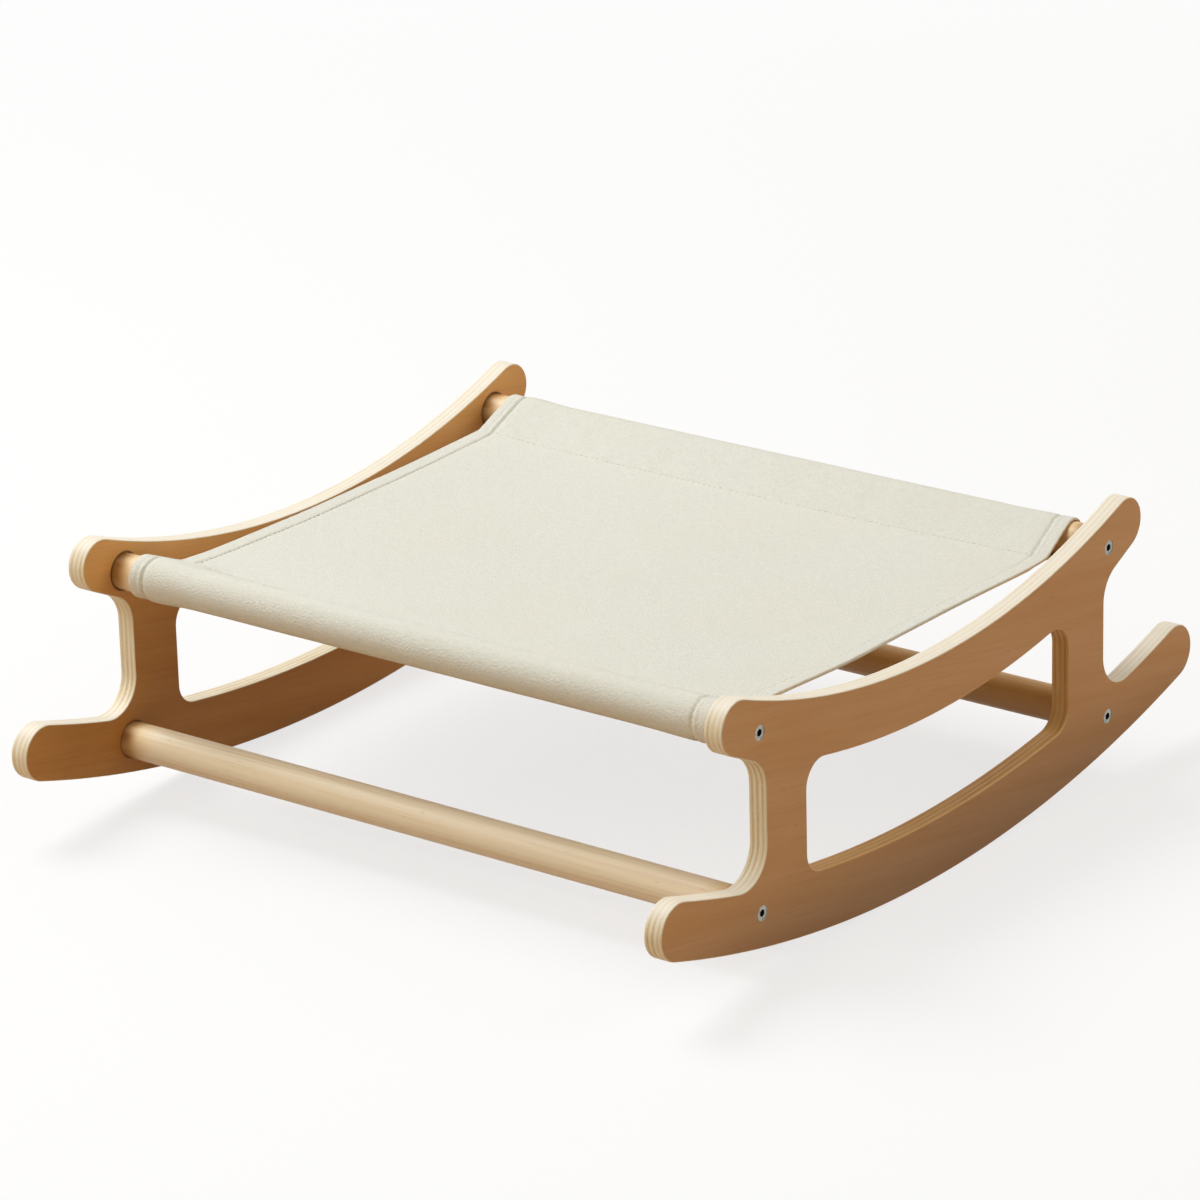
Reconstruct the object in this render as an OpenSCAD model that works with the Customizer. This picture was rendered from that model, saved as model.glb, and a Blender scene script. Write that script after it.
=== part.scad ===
// Rocking pet hammock: two plywood rocker sides, four dowels and a sewn canvas sling.
// Origin: middle of the footprint, on the floor. +X runs along the rails to the right side panel,
// +Y along the rockers to the rear, +Z up. Sizes are in millimetres.

/* [Frame] */
// Clear distance between the two side panels
inner_span = 447; // [360:1:540]
// Distance between the front and rear rail axes
rail_spacing = 350; // [310:1:400]
// Height of the top rails' axes above the floor
top_rail_z = 145.5; // [130:0.5:170]
// Diameter of the rails and stretchers
rail_d = 22; // [18:0.5:26]
// Height of a stretcher's axis above the rocker's bottom edge at that place
stretcher_rise = 21; // [17:0.5:24]

/* [Rocker] */
// Plywood thickness of the side panels
panel_t = 12; // [9:0.5:18]
// Radius of the rocker's bottom edge
rocker_r = 850; // [700:5:1100]
// Depth of the rocker at its feet
foot_band = 34; // [30:0.5:40]
// Distance from a rail's axis out to the centre of the foot's round end
foot_reach = 75.5; // [60:0.5:95]
// Fillet between the foot and the upright
foot_fillet = 21; // [12:0.5:28]

/* [Uprights and tips] */
// Distance from a rail's axis in to the upright's outer edge
upright_set = 5; // [0:0.5:9]
// Width of an upright
upright_w = 38; // [30:0.5:50]
// Fillet between the upright and the underside of the tip
tip_fillet = 21; // [12:0.5:24]
// Depth of that fillet's centre below the rail's axis
tip_fillet_drop = 33.5; // [32:0.5:40]
// Radius of the tip's round end
tip_r = 16; // [13:0.5:18]
// Distance from a rail's axis out to the centre of the tip's round end
tip_reach = 19; // [14:0.5:26]
// Height of the centre of the tip's round end above the rail's axis
tip_rise = 9; // [6:0.5:12]
// Depth of the panel's top edge at the middle below the rail's axis
top_dip = 10.5; // [6:0.5:20]

/* [Window] */
// Depth of the beam over the window at the middle
beam_depth = 34; // [26:0.5:40]
// Depth of the rocker under the window
window_band = 36.5; // [30:0.5:44]
// Radius of the window's top edge
window_top_r = 615; // [450:5:900]
// Radius of the window's lower corners
window_low_r = 14; // [6:0.5:20]
// Radius of the window's upper corners
window_high_r = 15; // [6:0.5:20]

/* [Sling] */
// Thickness of the canvas
cloth_t = 1; // [0.6:0.1:1.6]
// Gap between the canvas and the side panels
sling_gap = 14.5; // [8:0.5:30]
// Distance from a rail's axis to the stitch line that closes its sleeve
stitch_reach = 33; // [24:0.5:45]
// Slope of the canvas where it leaves a sleeve, in degrees
seat_slope = 5.5; // [2:0.5:9]
// Width of the turned hems along the sides of the seat
hem_w = 10; // [6:0.5:16]

/* [Fasteners] */
// Wood left behind the end of each rail
socket_floor = 6; // [4:0.5:8]
// Shank diameter of the screws
screw_d = 5; // [4:0.5:6]
// Head diameter of the countersunk screws
head_d = 9; // [8:0.5:11]
// Width across the flats of the hex socket
hex_flats = 4; // [2.5:0.5:4]
// Depth of the hex socket
hex_depth = 1.6; // [1:0.1:2]
// Length of screw that goes into an insert
screw_bite = 10; // [8:0.5:12]
// Outer diameter of the threaded inserts
insert_d = 8; // [7.5:0.5:9]
// Length of the threaded inserts
insert_len = 13; // [13:0.5:18]

/* [Hidden] */
// Radial clearance of a rail in its socket
socket_gap = 0.5;
// Clearance between the canvas and what it wraps or joins
cloth_gap = 0.3;
// Clearance round the screws, and round the inserts in their bores
screw_gap = 0.1;
insert_gap = 0.05;
// Depth of a screw's head below the outer face
head_sink = 0.4;
// Finest steps of an outline's arcs, in degrees and in millimetres
arc_deg = 6;
arc_mm = 12;
// How far cutting shapes run past the faces they cut
past = 1;
$fn = 96;

RAILS = ["front_top_rail", "rear_top_rail", "front_stretcher", "rear_stretcher"];
SIDES = ["left", "right"];

plywood_colour = [0.72, 0.54, 0.36];
dowel_colour = [0.87, 0.74, 0.57];
canvas_colour = [0.89, 0.89, 0.85];
steel_colour = [0.72, 0.72, 0.70];
brass_colour = [0.78, 0.63, 0.32];

// Rails: front is -Y, rear is +Y
rail_y = rail_spacing / 2;
rail_end = inner_span / 2 + panel_t - socket_floor;
stretcher_z = rocker_r - sqrt(pow(rocker_r, 2) - pow(rail_y, 2)) + stretcher_rise;
rail_axis = [[-rail_y, top_rail_z], [rail_y, top_rail_z], [-rail_y, stretcher_z], [rail_y, stretcher_z]];
side_sign = [-1, 1];
outer_x = inner_span / 2 + panel_t;

// Side panel outline: centres of its arcs, as [distance from the middle, height]
rocker_c = [0, rocker_r];
foot_angle = asin((rail_y + foot_reach) / (rocker_r - foot_band / 2));
foot_c = on_circle(rocker_c, rocker_r - foot_band / 2, foot_angle - 90);
upright_u = rail_y - upright_set;
foot_fillet_c = below(rocker_c, rocker_r - foot_band - foot_fillet, upright_u + foot_fillet);
foot_fillet_a = angle_to(rocker_c, foot_fillet_c);
tip_c = [rail_y + tip_reach, top_rail_z + tip_rise];
tip_fillet_c = [upright_u + tip_fillet, top_rail_z - tip_fillet_drop];
tip_line_a = angle_to(tip_fillet_c, tip_c)
    + acos((tip_fillet + tip_r) / norm(tip_c - tip_fillet_c));
top_mid_z = top_rail_z - top_dip;
top_c = [0, (pow(tip_c.x, 2) + pow(tip_c.y, 2) - pow(top_mid_z - tip_r, 2))
    / (2 * (tip_c.y + tip_r - top_mid_z))];
top_r = top_c.y - top_mid_z;

// Window outline, in the same terms
window_u = upright_u - upright_w;
low_corner_c = below(rocker_c, rocker_r - window_band - window_low_r, window_u - window_low_r);
window_top_c = [0, top_mid_z - beam_depth + window_top_r];
high_corner_c = below(window_top_c, window_top_r + window_high_r, window_u - window_high_r);

// Sling: the seat is an arc that runs on into the sleeves' middle lines
sling_w = inner_span - 2 * sling_gap;
sleeve_in_r = rail_d / 2 + cloth_gap;
sleeve_out_r = sleeve_in_r + cloth_t;
seam_len = 2 * cloth_t;
stitch_u = rail_y - stitch_reach * cos(seat_slope);
stitch_z = top_rail_z - stitch_reach * sin(seat_slope);
seat_r = stitch_u / sin(seat_slope);
seat_c = [0, stitch_z + seat_r * cos(seat_slope)];
seat_half_a = seat_slope - (seam_len + cloth_gap) / seat_r * 180 / PI;

head_h = (head_d - screw_d) / 2;
screw_len = socket_floor + screw_bite;

function on_circle(c, r, a) = c + r * [cos(a), sin(a)];
function angle_to(from, to) = atan2(to.y - from.y, to.x - from.x);
// Point below c, at distance r from it and at u from the middle
function below(c, r, u) = [u, c.y - sqrt(r * r - pow(u - c.x, 2))];
// Points of an arc. With skip = 1 it leaves out its first point, where the arc before it ends.
function arc(c, r, a0, a1, skip = 0) =
    let (n = ceil(max(abs(a1 - a0) / arc_deg, r * abs(a1 - a0) * PI / 180 / arc_mm)))
    [for (i = [skip:n]) on_circle(c, r, a0 + (a1 - a0) * i / n)];
// Whole outline from its right half, which starts and ends on the middle line
function both_halves(half) =
    concat(half, [for (i = [len(half) - 2:-1:1]) [-half[i].x, half[i].y]]);

function panel_half() = concat(
    arc(rocker_c, rocker_r, -90, foot_angle - 90),
    arc(foot_c, foot_band / 2, foot_angle - 90, foot_angle + 90, 1),
    arc(rocker_c, rocker_r - foot_band, foot_angle - 90, foot_fillet_a, 1),
    arc(foot_fillet_c, foot_fillet, foot_fillet_a, -180, 1),
    arc(tip_fillet_c, tip_fillet, 180, tip_line_a),
    arc(tip_c, tip_r, tip_line_a - 180, angle_to(tip_c, top_c)),
    arc(top_c, top_r, angle_to(top_c, tip_c), -90, 1)
);

function window_half() = concat(
    arc(rocker_c, rocker_r - window_band, -90, angle_to(rocker_c, low_corner_c)),
    arc(low_corner_c, window_low_r, angle_to(rocker_c, low_corner_c), 0, 1),
    arc(high_corner_c, window_high_r, 0, angle_to(high_corner_c, window_top_c)),
    arc(window_top_c, window_top_r, angle_to(window_top_c, high_corner_c), -90, 1)
);

// Teardrop section of a sleeve round the rail's axis, with its point towards +X
function teardrop(r, reach) =
    let (a = acos(r / reach)) concat(arc([0, 0], r, a, 360 - a), [[reach, 0]]);

// Strip of an arc about the seat's centre, between two radii
function seat_strip(r0, r1) = concat(
    arc(seat_c, r0, -90 - seat_half_a, -90 + seat_half_a),
    arc(seat_c, r1, -90 + seat_half_a, -90 - seat_half_a)
);

// Draws a [y, z] section along X, from x0 to x1
module along_x(x0, x1) translate([x0, 0, 0]) rotate([90, 0, 90]) linear_extrude(x1 - x0) children();

// Cylinder along X about a rail's axis
module rod(axis, r, x0, x1) along_x(x0, x1) translate(axis) circle(r);

// Puts a fastener drawn along Z, with +Z outwards, at one end of a rail
module at_end(axis, side, x) {
    mirror([side < 0 ? 1 : 0, 0, 0])
        translate([x, axis.x, axis.y])
            rotate([0, 90, 0])
                children();
}

module screw_shape(gap, length) {
    translate([0, 0, -length])
        cylinder(d = screw_d + 2 * gap, h = length - head_h);
    translate([0, 0, -head_h])
        cylinder(d1 = screw_d + 2 * gap, d2 = head_d + 2 * gap, h = head_h);
}

module side_panel(side) color(plywood_colour) mirror([side < 0 ? 1 : 0, 0, 0])
    difference() {
        along_x(inner_span / 2, outer_x)
            difference() {
                polygon(both_halves(panel_half()));
                polygon(both_halves(window_half()));
            }
        for (axis = rail_axis) {
            rod(axis, rail_d / 2 + socket_gap, inner_span / 2 - past, rail_end);
            at_end(axis, 1, outer_x - head_sink) {
                screw_shape(screw_gap, socket_floor + past);
                cylinder(d = head_d + 2 * screw_gap, h = head_sink + past);
            }
        }
    }

module rail(axis) color(dowel_colour)
    difference() {
        rod(axis, rail_d / 2, -rail_end, rail_end);
        for (side = side_sign)
            at_end(axis, side, rail_end)
                translate([0, 0, -insert_len])
                    cylinder(d = insert_d + 2 * insert_gap, h = insert_len + past);
    }

module insert(axis, side) color(brass_colour)
    at_end(axis, side, rail_end)
        translate([0, 0, -insert_len])
            difference() {
                cylinder(d = insert_d, h = insert_len);
                translate([0, 0, -past])
                    cylinder(d = screw_d + 2 * screw_gap, h = insert_len + 2 * past);
            }

module screw(axis, side) color(steel_colour)
    at_end(axis, side, outer_x - head_sink)
        difference() {
            screw_shape(0, screw_len);
            translate([0, 0, -hex_depth])
                cylinder(d = hex_flats / cos(30), h = hex_depth + past, $fn = 6);
        }

module sleeve(end) color(canvas_colour) mirror([0, end > 0 ? 1 : 0, 0])
    along_x(-sling_w / 2, sling_w / 2)
        translate([-rail_y, top_rail_z])
            rotate(-seat_slope) {
                difference() {
                    polygon(teardrop(sleeve_out_r, stitch_reach));
                    polygon(teardrop(sleeve_in_r, stitch_reach * sleeve_in_r / sleeve_out_r));
                }
                translate([stitch_reach - seam_len, -cloth_t])
                    square([2 * seam_len, 2 * cloth_t]);
            }

module sling_seat() color(canvas_colour) {
    along_x(-sling_w / 2, sling_w / 2)
        polygon(seat_strip(seat_r - cloth_t / 2, seat_r + cloth_t / 2));
    for (x0 = [-sling_w / 2, sling_w / 2 - hem_w])
        along_x(x0, x0 + hem_w)
            polygon(seat_strip(seat_r, seat_r + cloth_t * 3 / 2));
}

side_panel(-1);  // left_side_panel
side_panel(1);  // right_side_panel
for (i = [0:3]) rail(rail_axis[i]);
sling_seat();
sleeve(-1);  // front_sleeve
sleeve(1);  // rear_sleeve
for (i = [0:3], k = [0:1])
    insert(rail_axis[i], side_sign[k]);
for (i = [0:3], k = [0:1])
    screw(rail_axis[i], side_sign[k]);
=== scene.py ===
"""Looks of the rocking pet hammock: plywood rockers, beech rails, a sewn canvas sling and steel screws."""

import math

import bpy
import numpy as np
from mathutils import Matrix, Vector


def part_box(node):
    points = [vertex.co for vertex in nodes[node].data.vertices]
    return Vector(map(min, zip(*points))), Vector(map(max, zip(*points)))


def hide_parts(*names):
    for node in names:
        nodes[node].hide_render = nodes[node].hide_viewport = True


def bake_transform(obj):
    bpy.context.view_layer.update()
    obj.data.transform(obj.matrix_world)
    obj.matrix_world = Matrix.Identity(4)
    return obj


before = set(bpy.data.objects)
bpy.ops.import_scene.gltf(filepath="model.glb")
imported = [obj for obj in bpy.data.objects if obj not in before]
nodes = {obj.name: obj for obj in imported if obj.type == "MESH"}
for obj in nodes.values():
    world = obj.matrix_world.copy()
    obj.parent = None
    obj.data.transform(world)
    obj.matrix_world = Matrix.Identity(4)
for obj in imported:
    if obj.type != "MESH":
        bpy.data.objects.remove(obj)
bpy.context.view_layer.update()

# Pieces and sizes of the frame, in metres
RAILS = ("front_top_rail", "rear_top_rail", "front_stretcher", "rear_stretcher")
rail_low, rail_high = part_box("rear_top_rail")
panel_low, panel_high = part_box("right_side_panel")
RAIL_R = (rail_high.z - rail_low.z) / 2
RAIL_Y = (rail_high.y + rail_low.y) / 2
RAIL_Z = (rail_high.z + rail_low.z) / 2
STRETCHER_Z = sum(corner.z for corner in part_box("rear_stretcher")) / 2
PANEL_IN = panel_low.x
PANEL_OUT = panel_high.x
SLING_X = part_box("rear_sleeve")[1].x

# Canvas sling
CLOTH_T = 0.0010
SLEEVE_GAP = 0.0003
STITCH_REACH = 0.033
TILT_SIDE = math.radians(2.8)
TILT_MIDDLE = math.radians(6.5)
SAG_SIDE = 0.0030
SAG_MIDDLE = 0.0075
BOW_POWER = 2.2
TAIL_LEN = 0.012
TAIL_INSET = 0.0015
PLY_STEP = 0.0011
CREASE_SOFT = 0.0007
# Stretches from the turned end to the middle of the seat: name, number of stations, and a power
# that crowds the stations towards the start if it is over 1, or towards the end if it is under 1
STRETCHES = (("tail", 5, 1.0), ("lower", 9, 1.0), ("wrap", 34, 1.0), ("upper", 16, 0.6), ("seat", 52, 1.35))
# How far the right edge strays outwards at the front seam and at the rear seam, over what width,
# over what share of the seat it fades, and how much of it is left at the rail
EDGE_STRAY = {-1: -0.003, 1: 0.005}
STRAY_W = 0.09
STRAY_FADE = 0.75
STRAY_AT_RAIL = 0.3
# Looseness round a rail, and its broad and its fine waves
SLACK = 0.00018
SLACK_BROAD = 0.00010
SLACK_FINE = 0.00008
# Unevenness of the seat: height, radians per metre along X and along Y, and phase
RIPPLES = ((0.00022, 31, 17, 0.6), (0.00018, 58, -23, 2.1), (0.00012, 19, 66, 4.0))
RIPPLE_START = 0.15
# Tucks between a rail and its seam: height, radians per metre, phase, and a phase that changes its sign
# from one half to the other
TUCKS = ((0.00018, 127, 0.0, 1.3), (0.00015, 211, 0.8, -1.0), (0.00010, 337, 0.0, 2.6))

# Hems, seams and cuffs
HEM_W = 0.010
HEM_OVER = 0.0007
HEM_UNDER = 0.0005
HEM_SOFT = 0.0007
SEAM_W = 0.0012
SEAM_DEPTH = 0.0003
SEAM_PULL = 0.0003
CUFF_DEPTH = 0.0015
CUFF_FOLD = 0.0062
CUFF_SWELL = 0.0012
CUFF_RIGHT = 0.45
SWELL_RISE = (HEM_W, HEM_W + 0.003)
SWELL_FALL = (HEM_W + 0.004, HEM_W + 0.035)
# Shares of the seat over which the cuff ends, the seam's pull fades and the hem below begins
CUFF_END = (0.0, 0.06)
PULL_END = (0.0, 0.3)
HEM_BELOW = (0.10, 0.13)
# Distances from the cloth's edge at which it turns round, its fine samples end and its coarse ones begin
EDGE_ROUND = 0.0009
FINE_END = HEM_W + 0.012
COARSE_START = HEM_W + 0.014
COARSE_COUNT = 140

# Stitches
STITCH_LEN = 0.0029
STITCH_PITCH = 0.0041
STITCH_INSET = 0.002
STITCH_SIDES = 6
THREAD_R = 0.00030
# Rings of a stitch: share of its length, height and girth in thread radii
STITCH_RINGS = ((0.0, -0.8, 0.5), (0.12, 0.2, 0.85), (0.5, 0.7, 1.0), (0.88, 0.2, 0.85), (1.0, -0.8, 0.5))
# Stations past the seam at which the stitches under the hems begin
UNDER_START = 12

# Woodwork and weave
PLIES = 7
EASED_EDGE = 0.0009
SOCKET_CLEAR = 0.016
THREAD_PITCH = 0.00095
# Reach of the painted shade at the dowels' ends, and where it is darkest
END_SHADE = 0.013
END_DARK = 0.003
GRAIN_TILT = math.radians(10)
# Depth below the panel's face over which a screw darkens with painted shade
SOCKET_DARK = (0.0004, 0.0009)
# Where the plywood's painted shade and painted light lie: depth from the inner face, heights, and distances
# from the middle
INNER_FACE = (0.002, 0.004)
INNER_LIGHT_Z = (0.10, 0.14)
FLOOR_SHADE_Z = 0.065
SOCKET_SHADE_R = (RAIL_R + 0.0006, RAIL_R + 0.0018)
SOCKET_SHADE_Z = (STRETCHER_Z + 0.02, RAIL_Z - 0.02)
WINDOW_Y = (0.145, 0.150)
WINDOW_Z = (0.122, 0.130)
RIGHT_X = (-0.1, 0.1)
PALE_Z = (0.080, 0.105)
FOOT_Y = (0.170, 0.190)

# Floor, room and lamps
FLOOR_REACH = 9.0
FLOOR_DROP = 0.0002
FLOOR_SEEN = (0.92, 0.92, 0.92, 1)
BOUNCE_RANGE = (0.30, 0.80)
BOUNCE_NEAR = (0.48, 0.31, 0.16, 1)
BOUNCE_FAR = (0.66, 0.49, 0.32, 1)
WHITE_RANGE = (0.7, 2.5)
WHITE_NEAR = 0.74
ROOM_LOW = (0.12, 0.095, 0.065, 1)
ROOM_HIGH = (0.29, 0.255, 0.205, 1)
# Each lamp's place, diameter, watts and colour
LAMPS = {
    "key": ((-1.7, -0.20, 2.7), 2.0, 77.5, (0.92, 0.96, 1.0)),
    "fill": ((2.4, 1.4, 1.7), 2.0, 23, (1.0, 0.90, 0.76)),
    "front": ((-0.6, -2.2, 1.8), 1.6, 20.5, (0.98, 0.96, 0.90)),
}

# Photograph's view
VIEW_TARGET = Vector((-0.0282, 0.0275, 0.1043))
VIEW_DISTANCE = 3.4436
VIEW_AZIMUTH = math.radians(37.737)
VIEW_ELEVATION = math.radians(20.517)
VIEW_ROLL = math.radians(-1.487)
LENS_MM = 173.54
SENSOR_MM = 36


def smoothstep(low, high, value):
    t = np.clip((value - low) / (high - low), 0, 1)
    return t * t * (3 - 2 * t)


def soft_max(a, b, soft):
    return (a + b + np.sqrt((a - b) ** 2 + soft ** 2)) / 2


def rgb(red, green, blue):
    """Colour from 0 to 255 sRGB values, as linear RGBA."""
    def linear(c):
        c = c / 255
        return c / 12.92 if c <= 0.04045 else ((c + 0.055) / 1.055) ** 2.4
    return (linear(red), linear(green), linear(blue), 1.0)


class Nodes:
    """Shader nodes of one tree. An input that is a socket is linked, and any other is set."""

    def __init__(self, tree):
        self.tree = tree

    def put(self, socket, value):
        if isinstance(value, bpy.types.NodeSocket):
            self.tree.links.new(value, socket)
        else:
            socket.default_value = value

    def add(self, kind, inputs, out=0, **settings):
        made = self.tree.nodes.new("ShaderNode" + kind)
        for key, value in settings.items():
            setattr(made, key, value)
        for key, value in inputs.items():
            self.put(made.inputs[key], value)
        return made.outputs[out]

    def math(self, operation, a, b=0.0, c=0.0):
        return self.add("Math", {0: a, 1: b, 2: c}, operation=operation)

    def ramp(self, value, low, high, to_low=0.0, to_high=1.0, way="SMOOTHSTEP"):
        inputs = {"Value": value, "From Min": low, "From Max": high, "To Min": to_low, "To Max": to_high}
        return self.add("MapRange", inputs, interpolation_type=way)

    def mix(self, factor, a, b, blend="MIX"):
        inputs = {"Factor": factor, 6: a, 7: b}
        return self.add("Mix", inputs, out=2, data_type="RGBA", blend_type=blend)

    def split(self, vector):
        """X, Y and Z of a vector."""
        apart = self.tree.nodes.new("ShaderNodeSeparateXYZ")
        self.put(apart.inputs[0], vector)
        return apart.outputs

    def object_point(self):
        """Object coordinates and their X, Y and Z."""
        point = self.add("TexCoord", {}, out="Object")
        return point, self.split(point)

    def stretched(self, point, x, y, z):
        return self.add("Mapping", {"Vector": point, "Scale": (x, y, z)})

    def noise(self, point, scale, detail=3.0, rough=0.55):
        return self.add("TexNoise", {"Vector": point, "Scale": scale, "Detail": detail, "Roughness": rough})

    def seen_directly(self):
        """1 for rays that show the background: from the camera, or by way of metal and glass."""
        path = self.tree.nodes.new("ShaderNodeLightPath").outputs
        total = path["Is Camera Ray"]
        for name in ("Is Glossy Ray", "Is Transmission Ray"):
            total = self.math("MAXIMUM", total, path[name])
        return total


class Finish(Nodes):
    """Shader nodes of one material."""

    def __init__(self, name):
        self.material = bpy.data.materials.new(name)
        self.material.use_nodes = True
        super().__init__(self.material.node_tree)
        self.shader = self.tree.nodes["Principled BSDF"]

    def surface(self, colour, roughness, height=None, distance=0.0, strength=1.0, **values):
        self.put(self.shader.inputs["Base Color"], colour)
        self.put(self.shader.inputs["Roughness"], roughness)
        if height is not None:
            bump = {"Height": height, "Distance": distance, "Strength": strength}
            self.put(self.shader.inputs["Normal"], self.add("Bump", bump))
        for name, value in values.items():
            self.put(self.shader.inputs[name.replace("_", " ")], value)
        return self.material


def plywood():
    """Birch veneer on the faces, with the plies showing on the edges."""
    f = Finish("plywood_birch")
    point, axes = f.object_point()
    normal = f.add("TexCoord", {}, out="Normal")
    grain_way = f.add("Mapping", {"Vector": point, "Rotation": (GRAIN_TILT, 0, 0)})
    along = f.noise(f.stretched(grain_way, 40, 5, 70), 1.0, 4)
    fine = f.noise(f.stretched(grain_way, 200, 18, 700), 1.0, 2)
    fleck = f.noise(f.stretched(grain_way, 200, 120, 900), 1.0, 1)
    cloud = f.noise(f.stretched(grain_way, 3, 4, 9), 1.0, 2)
    veneer = f.mix(f.ramp(along, 0.3, 0.7), rgb(208, 160, 108), rgb(201, 151, 98))
    veneer = f.mix(f.ramp(cloud, 0.35, 0.7, 0, 0.55), veneer, rgb(214, 168, 117))
    veneer = f.mix(f.ramp(fine, 0.45, 0.75, 0, 0.30), veneer, rgb(187, 137, 86))
    veneer = f.mix(f.ramp(fleck, 0.70, 0.80, 0, 0.45), veneer, rgb(164, 114, 67))

    # Plies along the edges, with glue lines between them
    depth = f.math("SUBTRACT", f.math("ABSOLUTE", axes[0]), PANEL_IN)
    wobble = f.ramp(f.noise(f.stretched(point, 60, 30, 30), 1.0, 2), 0.2, 0.8, -0.12, 0.12)
    ply = f.math("MULTIPLY_ADD", depth, PLIES / (PANEL_OUT - PANEL_IN), wobble)
    wave = f.math("SINE", f.math("MULTIPLY", ply, math.pi))
    streak = f.noise(f.stretched(point, 1500, 60, 60), 1.0, 3)
    pores = f.noise(f.stretched(point, 900, 900, 900), 1.0, 2)
    long_grain = f.mix(f.ramp(streak, 0.35, 0.7), rgb(247, 238, 214), rgb(238, 224, 192))
    end_grain = f.mix(f.ramp(pores, 0.35, 0.7), rgb(226, 203, 163), rgb(212, 185, 142))
    patchy = f.noise(f.stretched(point, 90, 16, 16), 1.0, 2)
    crossed = f.math("MULTIPLY", f.ramp(wave, -0.55, -0.1, 1, 0), f.ramp(patchy, 0.35, 0.62, 0.35, 1))
    edge = f.mix(crossed, long_grain, end_grain)
    glue = f.math("ABSOLUTE", wave)
    edge = f.mix(f.ramp(glue, 0.0, 0.22, 0.24, 0), edge, rgb(178, 138, 92))

    # Painted light and shade: inner faces paler higher up and warmer lower down, lower outer faces darker
    # towards the floor, and dark rims round the sockets
    inside = f.ramp(depth, *INNER_FACE, 1, 0)
    # Painted shade makes the inner faces warmer and darker below the sling, and painted light makes them
    # paler higher up
    inner_shade_and_light = f.mix(f.ramp(axes[2], *INNER_LIGHT_Z), (1.12, 1.02, 0.68, 1), (1.38, 1.36, 1.10, 1))
    veneer = f.mix(inside, veneer, inner_shade_and_light, "MULTIPLY")
    # Painted shade: the outer faces darken towards the floor
    floor_shade = f.math("MULTIPLY", f.math("SUBTRACT", 1.0, inside), f.ramp(axes[2], 0.0, FLOOR_SHADE_Z, 0.9, 0))
    veneer = f.mix(floor_shade, veneer, (0.60, 0.58, 0.56, 1), "MULTIPLY")
    from_middle = f.math("ABSOLUTE", axes[1])
    beside = f.math("SUBTRACT", from_middle, RAIL_Y)
    above = f.math("ABSOLUTE", f.math("SUBTRACT", axes[2], (RAIL_Z + STRETCHER_Z) / 2))
    above = f.math("SUBTRACT", above, (RAIL_Z - STRETCHER_Z) / 2)
    from_axis = f.math("SQRT", f.math("MULTIPLY_ADD", beside, beside, f.math("MULTIPLY", above, above)))
    # Painted shade: dark rims on the inner faces round the sockets, fainter at the stretchers
    socket_shade = f.math("MULTIPLY", inside, f.ramp(from_axis, *SOCKET_SHADE_R, 1, 0))
    socket_shade = f.math("MULTIPLY", socket_shade, f.ramp(axes[2], *SOCKET_SHADE_Z, 0.25, 0.8))
    socket_shade_colour = rgb(92, 54, 24)
    veneer = f.mix(socket_shade, veneer, socket_shade_colour)
    edge = f.mix(socket_shade, edge, socket_shade_colour)

    # Painted shade browns the edges in the right window, and painted light makes edges pale where they face
    # up
    in_window = f.math("MULTIPLY", f.ramp(from_middle, *WINDOW_Y, 1, 0), f.ramp(axes[2], *WINDOW_Z, 1, 0))
    window_shade = f.math("MULTIPLY", in_window, f.ramp(axes[0], *RIGHT_X))
    edge = f.mix(window_shade, edge, (1.0, 0.72, 0.42, 1), "MULTIPLY")
    # Painted light: edges that face up are paler, high up and at the feet
    top_light = f.ramp(f.split(normal)[2], 0.35, 0.9, 0, 0.6)
    open_place = f.math("MAXIMUM", f.ramp(axes[2], *PALE_Z), f.ramp(from_middle, *FOOT_Y))
    edge = f.mix(f.math("MULTIPLY", top_light, open_place), edge, rgb(238, 232, 220))

    facing = f.add("VectorMath", {0: normal, 1: (1, 0, 0)}, out="Value", operation="DOT_PRODUCT")
    is_face = f.ramp(f.math("ABSOLUTE", facing), 0.86, 0.985)
    colour = f.mix(is_face, edge, veneer)
    roughness = f.ramp(along, 0.2, 0.8, 0.46, 0.58)
    grain = f.math("MULTIPLY_ADD", fine, 0.5, f.math("MULTIPLY", f.math("SUBTRACT", 1.0, is_face), streak))
    return f.surface(colour, roughness, grain, 0.00012, 0.6, Specular_IOR_Level=0.35)


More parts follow.
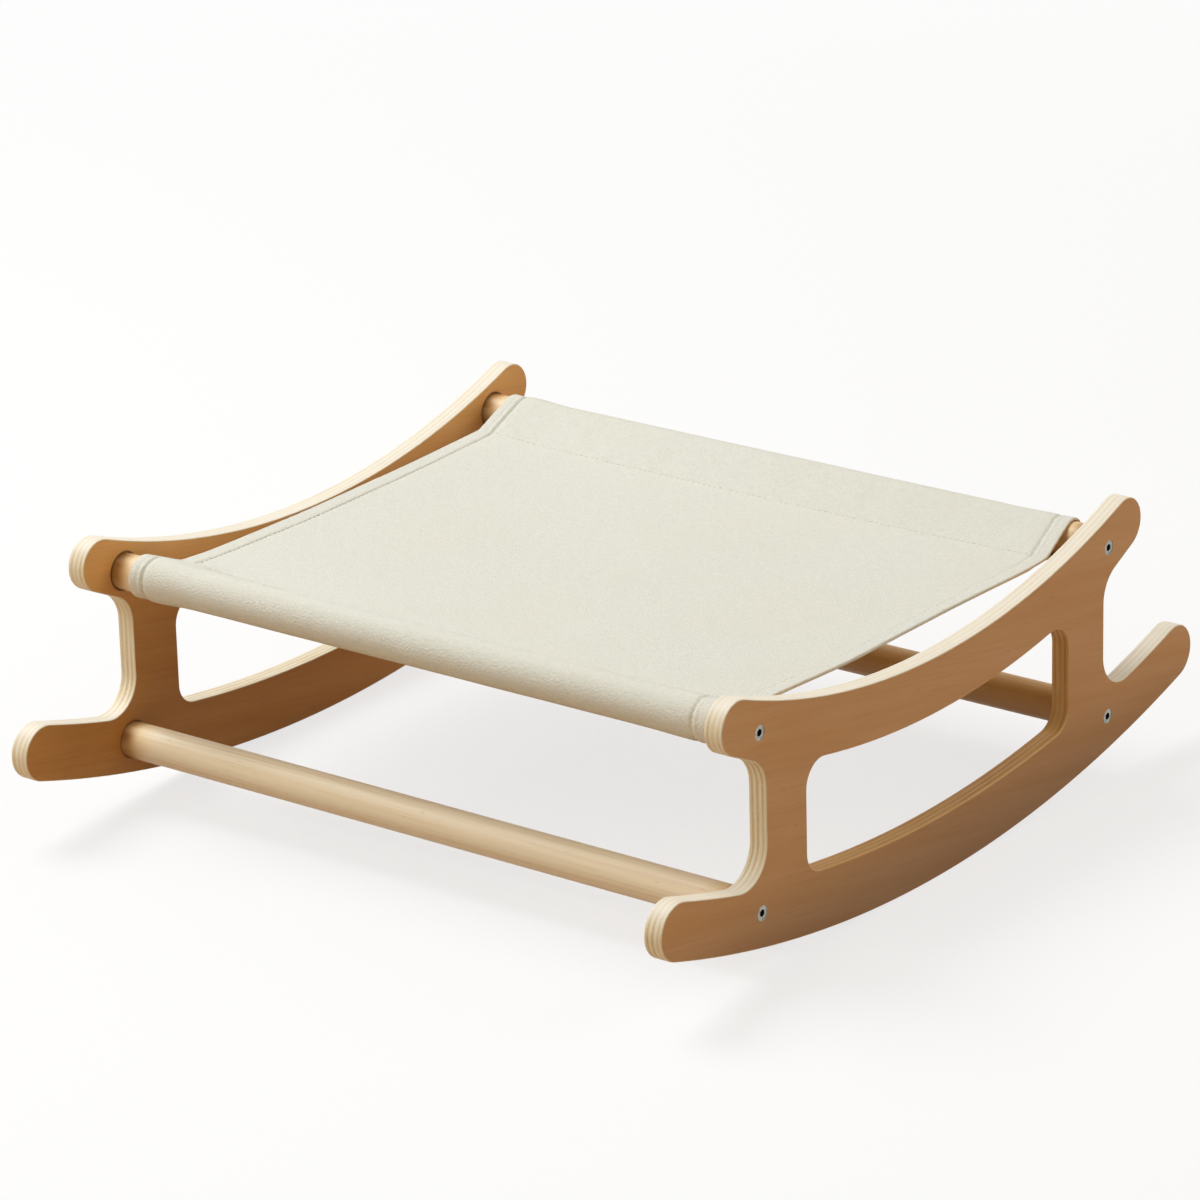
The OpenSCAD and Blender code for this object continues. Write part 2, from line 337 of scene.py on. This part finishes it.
def beech(name, tone):
    """Turned beech with streaks along the rail, short flecks, and painted shade at the ends where they go
    into the panels. A tone multiplies a whole dowel, and the rear stretcher's darker tone is painted shade.
    """
    f = Finish(name)
    point, axes = f.object_point()
    broad = f.noise(f.stretched(point, 2.2, 95, 95), 1.0, 3)
    streak = f.noise(f.stretched(point, 9, 520, 520), 1.0, 3)
    fleck = f.noise(f.stretched(point, 160, 1100, 1100), 1.0, 1)
    cloud = f.noise(point, 14.0, 2)
    colour = f.mix(f.ramp(broad, 0.3, 0.72), rgb(250, 236, 207), rgb(243, 223, 188))
    colour = f.mix(f.ramp(streak, 0.45, 0.75, 0, 0.5), colour, rgb(220, 186, 140))
    colour = f.mix(f.ramp(cloud, 0.35, 0.7, 0, 0.35), colour, rgb(247, 232, 205))
    colour = f.mix(f.ramp(fleck, 0.68, 0.80, 0, 0.35), colour, rgb(188, 146, 99))
    # Painted shade, golden and then dark brown, towards the ends where the dowels go into the panels
    from_middle = f.math("ABSOLUTE", axes[0])
    end_warm_shade = f.ramp(from_middle, PANEL_IN - 2 * END_SHADE, PANEL_IN - END_SHADE / 2, 0, 0.7)
    colour = f.mix(end_warm_shade, colour, rgb(226, 190, 128))
    at_end = f.ramp(from_middle, PANEL_IN - END_SHADE, PANEL_IN - END_DARK)
    end_shade = f.math("MULTIPLY", at_end, f.ramp(broad, 0.3, 0.6, 0.5, 0.95))
    colour = f.mix(end_shade, colour, rgb(164, 114, 54))
    colour = f.mix(1.0, colour, tone, "MULTIPLY")
    return f.surface(colour, f.ramp(streak, 0.2, 0.8, 0.42, 0.55), streak, 0.00010, 0.5)


def canvas():
    """Plain-woven cotton canvas. The weave follows the cloth's own flat coordinates."""
    f = Finish("cotton_canvas")
    flat = f.add("UVMap", {}, uv_map="weave")
    u, v, _ = f.split(flat)
    warp = f.math("SINE", f.math("MULTIPLY", u, math.pi / THREAD_PITCH))
    weft = f.math("SINE", f.math("MULTIPLY", v, math.pi / THREAD_PITCH))
    over = f.ramp(f.math("MULTIPLY", warp, weft), -0.3, 0.3)
    warp_h = f.math("ABSOLUTE", warp)
    weft_h = f.math("ABSOLUTE", weft)
    high_warp = f.math("MULTIPLY_ADD", over, 0.5, f.math("MULTIPLY", warp_h, 0.5))
    high_weft = f.math("MULTIPLY_ADD", over, -0.5, f.math("MULTIPLY_ADD", weft_h, 0.5, 0.5))
    weave = f.math("SMOOTH_MAX", high_warp, high_weft, 0.15)

    slub_u = f.noise(f.stretched(flat, 1100, 190, 1), 1.0, 2)
    slub_v = f.noise(f.stretched(flat, 190, 1100, 1), 1.0, 2)
    speck = f.noise(f.stretched(flat, 800, 800, 1), 1.0, 2)
    cloud = f.noise(f.stretched(flat, 9, 9, 1), 1.0, 3)
    nap = f.noise(f.stretched(flat, 640, 640, 1), 1.0, 2)
    slubs = f.math("MULTIPLY", f.math("ADD", slub_u, slub_v), 0.5)
    colour = f.mix(f.ramp(slubs, 0.36, 0.64), rgb(226, 226, 216), rgb(234, 234, 224))
    colour = f.mix(f.ramp(speck, 0.55, 0.72, 0, 0.34), colour, rgb(200, 198, 184))
    colour = f.mix(f.ramp(weave, 0.45, 0.95, 0.2, 0), colour, rgb(200, 195, 178))
    colour = f.mix(f.ramp(cloud, 0.35, 0.75, 0, 0.2), colour, rgb(228, 224, 209))
    woven = f.math("MULTIPLY_ADD", slubs, 0.9, f.math("MULTIPLY", weave, 0.6))
    height = f.math("MULTIPLY_ADD", nap, 2.0, woven)
    return f.surface(colour, f.ramp(slubs, 0.3, 0.7, 0.95, 0.85), height, 0.00034, 0.8,
                     Sheen_Weight=0.12, Sheen_Roughness=0.6, Specular_IOR_Level=0.25)


def thread():
    """Sewing thread, with its twist as fine ridges."""
    f = Finish("sewing_thread")
    point, _ = f.object_point()
    twist = f.add("TexWave", {"Vector": point, "Scale": 900.0, "Distortion": 1.5}, out="Fac",
                  wave_type="BANDS", bands_direction="DIAGONAL")
    tone = f.noise(point, 260.0, 2)
    colour = f.mix(f.ramp(tone, 0.3, 0.7), rgb(238, 235, 224), rgb(222, 218, 203))
    return f.surface(colour, f.ramp(tone, 0.3, 0.7, 0.6, 0.75), twist, 0.00005, 0.5, Sheen_Weight=0.1)


def steel():
    """Bright screw steel, dull down in the hex socket, where painted shade darkens it."""
    f = Finish("screw_steel")
    point, axes = f.object_point()
    depth = f.math("SUBTRACT", PANEL_OUT, f.math("ABSOLUTE", axes[0]))
    socket = f.ramp(depth, *SOCKET_DARK)
    scratch = f.noise(point, 2600.0, 3)
    tone = f.noise(point, 420.0, 2)
    bright = f.mix(f.ramp(tone, 0.3, 0.7), rgb(172, 169, 160), rgb(144, 141, 132))
    colour = f.mix(socket, bright, rgb(52, 49, 46))
    roughness = f.math("MULTIPLY_ADD", socket, 0.3, f.ramp(scratch, 0.3, 0.7, 0.24, 0.36))
    return f.surface(colour, roughness, scratch, 0.00003, 0.4, Metallic=1.0)


def brass():
    """Dull turned brass of the threaded inserts."""
    f = Finish("insert_brass")
    point, _ = f.object_point()
    turning = f.noise(f.stretched(point, 2400, 60, 60), 1.0, 2)
    colour = f.mix(f.ramp(turning, 0.3, 0.7), rgb(203, 168, 92), rgb(172, 134, 66))
    return f.surface(colour, f.ramp(turning, 0.3, 0.7, 0.28, 0.42), turning, 0.00004, 0.4, Metallic=1.0)


def dress(node, material):
    """Gives a CAD node its finish."""
    mesh = nodes[node].data
    mesh.materials.clear()
    mesh.materials.append(material)


def eased_edges(node):
    """Rounds the cut edges of a panel a little, away from its sockets and countersinks."""
    piece = nodes[node]
    mesh = piece.data
    points = np.array([v.co for v in mesh.vertices])
    pairs = np.array([e.vertices for e in mesh.edges])
    uses = np.zeros(len(mesh.edges), int)
    for face in mesh.polygons:
        for key in face.loop_indices:
            uses[mesh.loops[key].edge_index] += 1
    ends = points[pairs]
    flat = np.ptp(ends[:, :, 0], axis=1) < 1e-5
    middle = ends.mean(axis=1)
    clear = np.ones(len(pairs), bool)
    for rail in RAILS:
        low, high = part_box(rail)
        axis = (np.array(low) + np.array(high))[1:] / 2
        clear &= np.linalg.norm(middle[:, 1:] - axis, axis=1) > SOCKET_CLEAR
    weight = mesh.attributes.new("bevel_weight_edge", "FLOAT", "EDGE")
    weight.data.foreach_set("value", ((uses == 1) & flat & clear).astype(np.float32))
    mesh.attributes.remove(mesh.attributes["custom_normal"])
    mesh.attributes.remove(mesh.attributes["sharp_edge"])
    mesh.shade_smooth()
    weld = piece.modifiers.new("weld", "WELD")
    weld.merge_threshold = 1e-6
    merge = piece.modifiers.new("whole_faces", "DECIMATE")
    merge.decimate_type = "DISSOLVE"
    merge.angle_limit = math.radians(0.2)
    bevel = piece.modifiers.new("eased_edges", "BEVEL")
    bevel.limit_method = "WEIGHT"
    bevel.width = EASED_EDGE
    bevel.segments = 3
    bevel.use_clamp_overlap = False
    split = piece.modifiers.new("hole_rims", "EDGE_SPLIT")
    split.split_angle = math.radians(40)
    flat_normals = piece.modifiers.new("flat_faces", "WEIGHTED_NORMAL")
    flat_normals.keep_sharp = True


def ripple(x, y):
    """Slight unevenness of the taut canvas."""
    return sum(high * np.sin(by_x * x + by_y * y + phase) for high, by_x, by_y, phase in RIPPLES)


def pucker(x, sign):
    """Soft tucks across the band between a rail and its seam."""
    return sum(high * np.sin(by_x * x + phase + by_sign * sign) for high, by_x, phase, by_sign in TUCKS)


def slack(x, sign, share):
    """How loosely the cloth lies at a share of its way round a rail."""
    loose = 0.5 - 0.5 * np.cos(2 * math.pi * share)
    return loose * (SLACK + SLACK_BROAD * np.sin(47 * x + sign) + SLACK_FINE * np.sin(113 * x + 5 * share))


def sling_stations():
    """Stations along the cloth: each is its stretch's name and its share along that stretch."""
    stations = [(name, (i / count) ** power) for name, count, power in STRETCHES for i in range(count)]
    return stations + [("seat", 1.0)]


def sling_lines(x, sign):
    """Middle line of the cloth at each x: distances from the rail's axis towards the middle, and heights."""
    bow = 1 - np.abs(x / SLING_X) ** BOW_POWER
    tilt = TILT_SIDE + (TILT_MIDDLE - TILT_SIDE) * bow
    sag = SAG_SIDE + (SAG_MIDDLE - SAG_SIDE) * bow
    radius = RAIL_R + SLEEVE_GAP + CLOTH_T / 2
    apex_p = STITCH_REACH * np.cos(tilt)
    apex_z = -STITCH_REACH * np.sin(tilt)
    spread = math.acos(radius / STITCH_REACH)
    up_a, low_a = spread - tilt, -spread - tilt
    up_p, up_z = radius * np.cos(up_a), radius * np.sin(up_a)
    low_p, low_z = radius * np.cos(low_a), radius * np.sin(low_a)

    def seat_z(p):
        q = (p - apex_p) / (RAIL_Y - apex_p)
        wave = ripple(x, sign * (RAIL_Y - p)) * smoothstep(0, RIPPLE_START, q)
        return apex_z - sag * (1 - (1 - q) ** 2) + wave

    def over(p):
        line = up_z + (p - up_p) * (apex_z - up_z) / (apex_p - up_p)
        return soft_max(line, seat_z(p), CREASE_SOFT)

    def under(p):
        line = low_z + (p - low_p) * (apex_z - PLY_STEP - low_z) / (apex_p - low_p)
        return -soft_max(-line, PLY_STEP - seat_z(p), CREASE_SOFT)

    rows = []
    for name, share in sling_stations():
        if name == "tail":
            p = apex_p + TAIL_LEN * (1 - share)
            rows.append((p, under(p)))
        elif name == "lower":
            p = apex_p + (low_p - apex_p) * share
            rows.append((p, under(p)))
        elif name == "wrap":
            angle = low_a + (up_a - 2 * math.pi - low_a) * share
            away = radius + slack(x, sign, share)
            rows.append((away * np.cos(angle), away * np.sin(angle)))
        elif name == "upper":
            p = up_p + (apex_p - up_p) * share
            rows.append((p, over(p) + pucker(x, sign) * math.sin(math.pi * share)))
        else:
            p = apex_p + (RAIL_Y - apex_p) * share
            rows.append((p, over(p)))
    return np.array([r[0] for r in rows]), np.array([r[1] for r in rows])


def across():
    """Places across the sling where the cloth is sampled: close together at the hems."""
    seam_from, seam_to = HEM_W - 2 * SEAM_W, HEM_W + 2 * SEAM_W
    hem = np.concatenate([np.linspace(EDGE_ROUND, seam_from, 11), np.linspace(seam_from, seam_to, 13)[1:],
                          np.linspace(seam_to, FINE_END, 8)[1:]])
    coarse = SLING_X - COARSE_START
    return np.concatenate([hem - SLING_X, np.linspace(-coarse, coarse, COARSE_COUNT), SLING_X - hem[::-1]])


def strayed(xs, sign):
    """Places across the cloth at each station.

    The right edge strays near the seam, and the tail is narrower.
    """
    rows = []
    for name, share in sling_stations():
        tail = {"tail": 1, "lower": 1 - share}.get(name, 0)
        pull = {"seat": 1 - smoothstep(0, STRAY_FADE, share),
                "upper": STRAY_AT_RAIL + (1 - STRAY_AT_RAIL) * share,
                "wrap": STRAY_AT_RAIL * smoothstep(0.5, 1, share)}.get(name, 0)
        stray = EDGE_STRAY[sign] * pull * smoothstep(SLING_X - STRAY_W, SLING_X, xs)
        rows.append(xs * (1 - tail * TAIL_INSET / SLING_X) + stray)
    return np.array(rows)


def standoff(xs, p):
    """How far the cloth's outer and inner faces lie from its middle line, with its hems, seams and cuffs."""
    stations = sling_stations()
    names = [name for name, _ in stations]
    seat_share = np.array([s if n == "seat" else 0.0 for n, s in stations])[:, None]
    folded = np.array([{"tail": 0, "lower": s}.get(n, 1) for n, s in stations])[:, None]
    sewn = np.array([n in ("upper", "seat") for n in names])[:, None]
    on_sleeve = 1 - smoothstep(*CUFF_END, seat_share)

    edge = SLING_X - np.abs(xs)
    hem = 1 - smoothstep(HEM_W - HEM_SOFT, HEM_W + HEM_SOFT, edge)
    seam = np.exp(-((edge - HEM_W) / SEAM_W) ** 2)
    fold = np.exp(-((edge - CUFF_FOLD) / SEAM_W) ** 2)
    swell = smoothstep(*SWELL_RISE, edge) * (1 - smoothstep(*SWELL_FALL, edge))
    cuff = CUFF_SWELL * swell - CUFF_DEPTH * seam - CUFF_DEPTH / 3 * fold
    cuff = cuff * np.where(xs > 0, CUFF_RIGHT, 1)
    dent = (SEAM_DEPTH + SEAM_PULL * (1 - smoothstep(*PULL_END, seat_share))) * seam
    seam_p = p[names.index("seat")]
    across_dent = SEAM_DEPTH * np.exp(-((p - seam_p) / SEAM_W) ** 2) * sewn * (1 - hem)
    outer = CLOTH_T / 2 + HEM_OVER * hem * folded + on_sleeve * cuff - (1 - on_sleeve) * dent - across_dent
    inner = CLOTH_T / 2 + HEM_UNDER * hem * smoothstep(*HEM_BELOW, seat_share)
    return outer, inner


def loop_faces(count, around, shift):
    """Faces of rows of points that each run round the cloth, with the first and last rows closed.

    Half of a row's points, from shift before its first, lie over the other half.
    """
    def key(i, j):
        return i * around + j % around

    faces = [(key(i, j), key(i, j + 1), key(i + 1, j + 1), key(i + 1, j))
             for i in range(count - 1) for j in range(around)]
    for row, way in ((0, -1), (count - 1, 1)):
        upper = [key(row, k - shift) for k in range(around // 2)]
        lower = [key(row, -shift - 1 - k) for k in range(around // 2)]
        faces += [(upper[k], upper[k + 1], lower[k + 1], lower[k])[::way] for k in range(len(upper) - 1)]
    return faces


def grid_object(name, points, faces, material):
    mesh = bpy.data.meshes.new(name)
    mesh.from_pydata(points.tolist(), [], faces)
    mesh.shade_smooth()
    mesh.materials.append(material)
    piece = bpy.data.objects.new(name, mesh)
    bpy.context.scene.collection.objects.link(piece)
    return piece


def weave_map(piece, loop, travel):
    """Gives the cloth its flat coordinates: places across it, and distances along it."""
    count, around = loop.shape[:2]
    flat_u = np.tile(loop[0, :, 0], count)
    flat_v = np.repeat(travel, around)
    layer = piece.data.uv_layers.new(name="weave")
    corners = np.array([c.vertex_index for c in piece.data.loops])
    layer.data.foreach_set("uv", np.stack([flat_u[corners], flat_v[corners]], axis=1).ravel())


def sling_half(name, sign, material):
    """Half of the sling, from its turned end under the seat, round a rail and on to the middle.

    Gives the piece, its outer and inner points, the places across and the length along the cloth.
    """
    xs = across()
    spread = strayed(xs, sign)
    p, z = sling_lines(xs, sign)
    run_p, run_z = np.gradient(p, axis=0), np.gradient(z, axis=0)
    length = np.hypot(run_p, run_z)
    normal_p, normal_z = -run_z / length, run_p / length
    outer, inner = standoff(xs, p)
    middle, half = (outer - inner) / 2, (outer + inner) / 2

    def place(x, p, z):
        return np.stack([np.broadcast_to(x, p.shape), sign * (RAIL_Y - p), RAIL_Z + z], axis=-1)

    def rounded(side):
        """Points round the cloth's edge, at its first (0) or last (-1) place across."""
        out_p, out_z = normal_p[:, side], normal_z[:, side]
        middle_p = p[:, side] + out_p * middle[:, side]
        middle_z = z[:, side] + out_z * middle[:, side]
        reach = math.copysign(SLING_X - abs(xs[side]), xs[side])
        turns = []
        for angle in np.linspace(-math.pi / 2, math.pi / 2, 6)[1:-1]:
            lift = half[:, side] * math.sin(angle)
            x = spread[:, side] + reach * math.cos(angle)
            turns.append(place(x, middle_p + out_p * lift, middle_z + out_z * lift))
        return np.stack(turns, axis=1)

    top = place(spread, p + normal_p * outer, z + normal_z * outer)
    low = place(spread, p - normal_p * inner, z - normal_z * inner)
    left, right = rounded(0), rounded(-1)
    loop = np.concatenate([top, right[:, ::-1], low[:, ::-1], left], axis=1)
    faces = loop_faces(*loop.shape[:2], left.shape[1] // 2)
    if sign > 0:
        faces = [f[::-1] for f in faces]
    piece = grid_object(name, loop.reshape(-1, 3), faces, material)
    piece.data.set_sharp_from_angle(angle=math.radians(60))
    steps = np.linalg.norm(np.diff(top[:, len(xs) // 2], axis=0), axis=1)
    travel = np.concatenate([[0], np.cumsum(steps)])
    weave_map(piece, loop, travel)
    return piece, top, low, xs, travel[-1]


def stitch_row(line, up, points, faces):
    """Adds stitches along a line of surface points, whose outward directions are up."""
    steps = np.concatenate([[0], np.cumsum(np.linalg.norm(np.diff(line, axis=0), axis=1))])
    near = 0.0002

    def at(values, s):
        return np.array([np.interp(s, steps, values[:, k]) for k in range(3)])

    count = int(steps[-1] / STITCH_PITCH)
    first = (steps[-1] - count * STITCH_PITCH + STITCH_PITCH - STITCH_LEN) / 2
    for n in range(count):
        base = len(points)
        begin = first + n * STITCH_PITCH
        for share, lift, girth in STITCH_RINGS:
            s = begin + share * STITCH_LEN
            out = Vector(at(up, s)).normalized()
            ahead = Vector(at(line, s + near) - at(line, s - near)).normalized()
            beside = ahead.cross(out)
            centre = Vector(at(line, s)) + out * lift * THREAD_R
            for k in range(STITCH_SIDES):
                turn = 2 * math.pi * k / STITCH_SIDES
                points.append(centre + (beside * math.cos(turn) + out * math.sin(turn)) * girth * THREAD_R)
        for r in range(len(STITCH_RINGS) - 1):
            for k in range(STITCH_SIDES):
                a = base + r * STITCH_SIDES
                b = a + STITCH_SIDES
                faces.append((a + k, b + k, b + (k + 1) % STITCH_SIDES, a + (k + 1) % STITCH_SIDES))
        last = base + (len(STITCH_RINGS) - 1) * STITCH_SIDES
        faces.append(tuple(base + k for k in range(STITCH_SIDES)))
        faces.append(tuple(last + k for k in reversed(range(STITCH_SIDES))))


def outward(surface, sign):
    """Outward directions of a grid of surface points."""
    along = np.gradient(surface, axis=0)
    across_x = np.gradient(surface, axis=1)
    normal = np.cross(across_x, along) * (-sign)
    return normal / np.linalg.norm(normal, axis=-1, keepdims=True)


def sling_stitches(name, sign, top, low, xs, material):
    """Stitches of half the sling: the sleeve's seam above and below, and both hems."""
    names = [n for n, _ in sling_stations()]
    seam_top = names.index("seat")
    seam_low = names.index("lower")
    under = seam_top + UNDER_START
    points, faces = [], []
    up_top = outward(top, sign)
    up_low = -outward(low, sign)
    inside = np.abs(xs) < SLING_X - HEM_W - STITCH_INSET
    for row in (seam_top, seam_low):
        stitch_row(top[row][inside], up_top[row][inside], points, faces)
    for column in (np.argmin(np.abs(xs + SLING_X - HEM_W)), np.argmin(np.abs(xs - SLING_X + HEM_W))):
        stitch_row(top[seam_low:, column], up_top[seam_low:, column], points, faces)
        stitch_row(low[under:, column], up_low[under:, column], points, faces)
    return grid_object(name, np.array(points), faces, material)


def sling(cloth, sewing):
    """Both halves of the sling with their stitches. They meet at the middle of the seat."""
    for end, sign in (("front", -1), ("rear", 1)):
        piece, top, low, xs, length = sling_half("sling_" + end, sign, cloth)
        seams = sling_stitches("stitches_" + end, sign, top, low, xs, sewing)
        for part in (piece, seams):
            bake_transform(part)
        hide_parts(end + "_sleeve", "sling_seat")


def woodwork():
    veneer = plywood()
    pale = beech("beech_dowel", (1, 1, 1, 1))
    # The rear stretcher's darker, ruddier copy of the beech is painted shade
    shaded_beech = beech("beech_dowel_painted_shade", (0.92, 0.69, 0.41, 1))
    for side in ("left", "right"):
        dress(side + "_side_panel", veneer)
        eased_edges(side + "_side_panel")
    for name in RAILS:
        dress(name, shaded_beech if name == "rear_stretcher" else pale)


def fasteners():
    bright, dull = steel(), brass()
    for name in nodes:
        if name.endswith("_screw"):
            dress(name, bright)
        elif name.endswith("_insert"):
            dress(name, dull)


def white_floor():
    """Pale floor that keeps the object's shadow and is clear from below.

    It bounces less light close to the object, and is white far away.
    """
    mesh = bpy.data.meshes.new("floor")
    corners = [(x * FLOOR_REACH, y * FLOOR_REACH, 0) for x, y in ((-1, -1), (1, -1), (1, 1), (-1, 1))]
    mesh.from_pydata(corners, [], [(0, 1, 2, 3)])
    floor = bpy.data.objects.new("floor", mesh)
    floor.location.z = -FLOOR_DROP
    bpy.context.scene.collection.objects.link(floor)

    f = Finish("floor_white")
    f.tree.nodes.remove(f.shader)
    seen = f.seen_directly()
    spot = f.add("NewGeometry", {}, out="Position")
    away = f.add("VectorMath", {0: spot}, out="Value", operation="LENGTH")
    bounce = f.mix(f.ramp(away, *BOUNCE_RANGE, way="LINEAR"), BOUNCE_NEAR, BOUNCE_FAR)
    diffuse = f.add("BsdfDiffuse", {"Color": f.mix(seen, bounce, FLOOR_SEEN)})
    glow = f.add("Emission", {"Strength": 1.0})
    share = f.math("MULTIPLY", seen, f.ramp(away, *WHITE_RANGE, WHITE_NEAR, way="LINEAR"))
    lit = f.add("MixShader", {0: share, 1: diffuse, 2: glow})
    below = f.add("NewGeometry", {}, out="Backfacing")
    both = f.add("MixShader", {0: below, 1: lit, 2: f.add("BsdfTransparent", {})})
    f.put(f.tree.nodes["Material Output"].inputs["Surface"], both)
    mesh.materials.append(f.material)


def area_light(name, place, size, watts, colour):
    data = bpy.data.lights.new(name, "AREA")
    data.shape = "DISK"
    data.size = size
    data.energy = watts
    data.color = colour
    lamp = bpy.data.objects.new(name, data)
    lamp.location = place
    lamp.rotation_euler = (VIEW_TARGET - Vector(place)).to_track_quat("-Z", "Y").to_euler()
    bpy.context.scene.collection.objects.link(lamp)


def studio():
    """White surroundings that light the object as a dim warm room would, and three soft lamps.

    The key is above on the left, the fill is warm and from the right, and the third is in front.
    """
    world = bpy.data.worlds.new("studio")
    bpy.context.scene.world = world
    world.use_nodes = True
    sky = Nodes(world.node_tree)
    height = sky.split(sky.add("TexCoord", {}, out="Generated"))[2]
    room = sky.mix(height, ROOM_LOW, ROOM_HIGH)
    shown = sky.mix(sky.seen_directly(), room, (1, 1, 1, 1))
    sky.put(sky.tree.nodes["Background"].inputs["Color"], shown)
    for name, lamp in LAMPS.items():
        area_light(name, *lamp)


def camera():
    data = bpy.data.cameras.new("view")
    data.lens = LENS_MM
    data.sensor_width = SENSOR_MM
    view = bpy.data.objects.new("view", data)
    level = math.cos(VIEW_ELEVATION)
    rise = math.sin(VIEW_ELEVATION)
    back = Vector((math.sin(VIEW_AZIMUTH) * level, -math.cos(VIEW_AZIMUTH) * level, rise))
    turn = (-back).to_track_quat("-Z", "Y").to_matrix().to_4x4() @ Matrix.Rotation(VIEW_ROLL, 4, "Z")
    view.matrix_world = Matrix.Translation(VIEW_TARGET + back * VIEW_DISTANCE) @ turn
    bpy.context.scene.collection.objects.link(view)
    bpy.context.scene.camera = view


bpy.context.scene.view_settings.view_transform = "Standard"
camera()
studio()
white_floor()
woodwork()
fasteners()
sling(canvas(), thread())
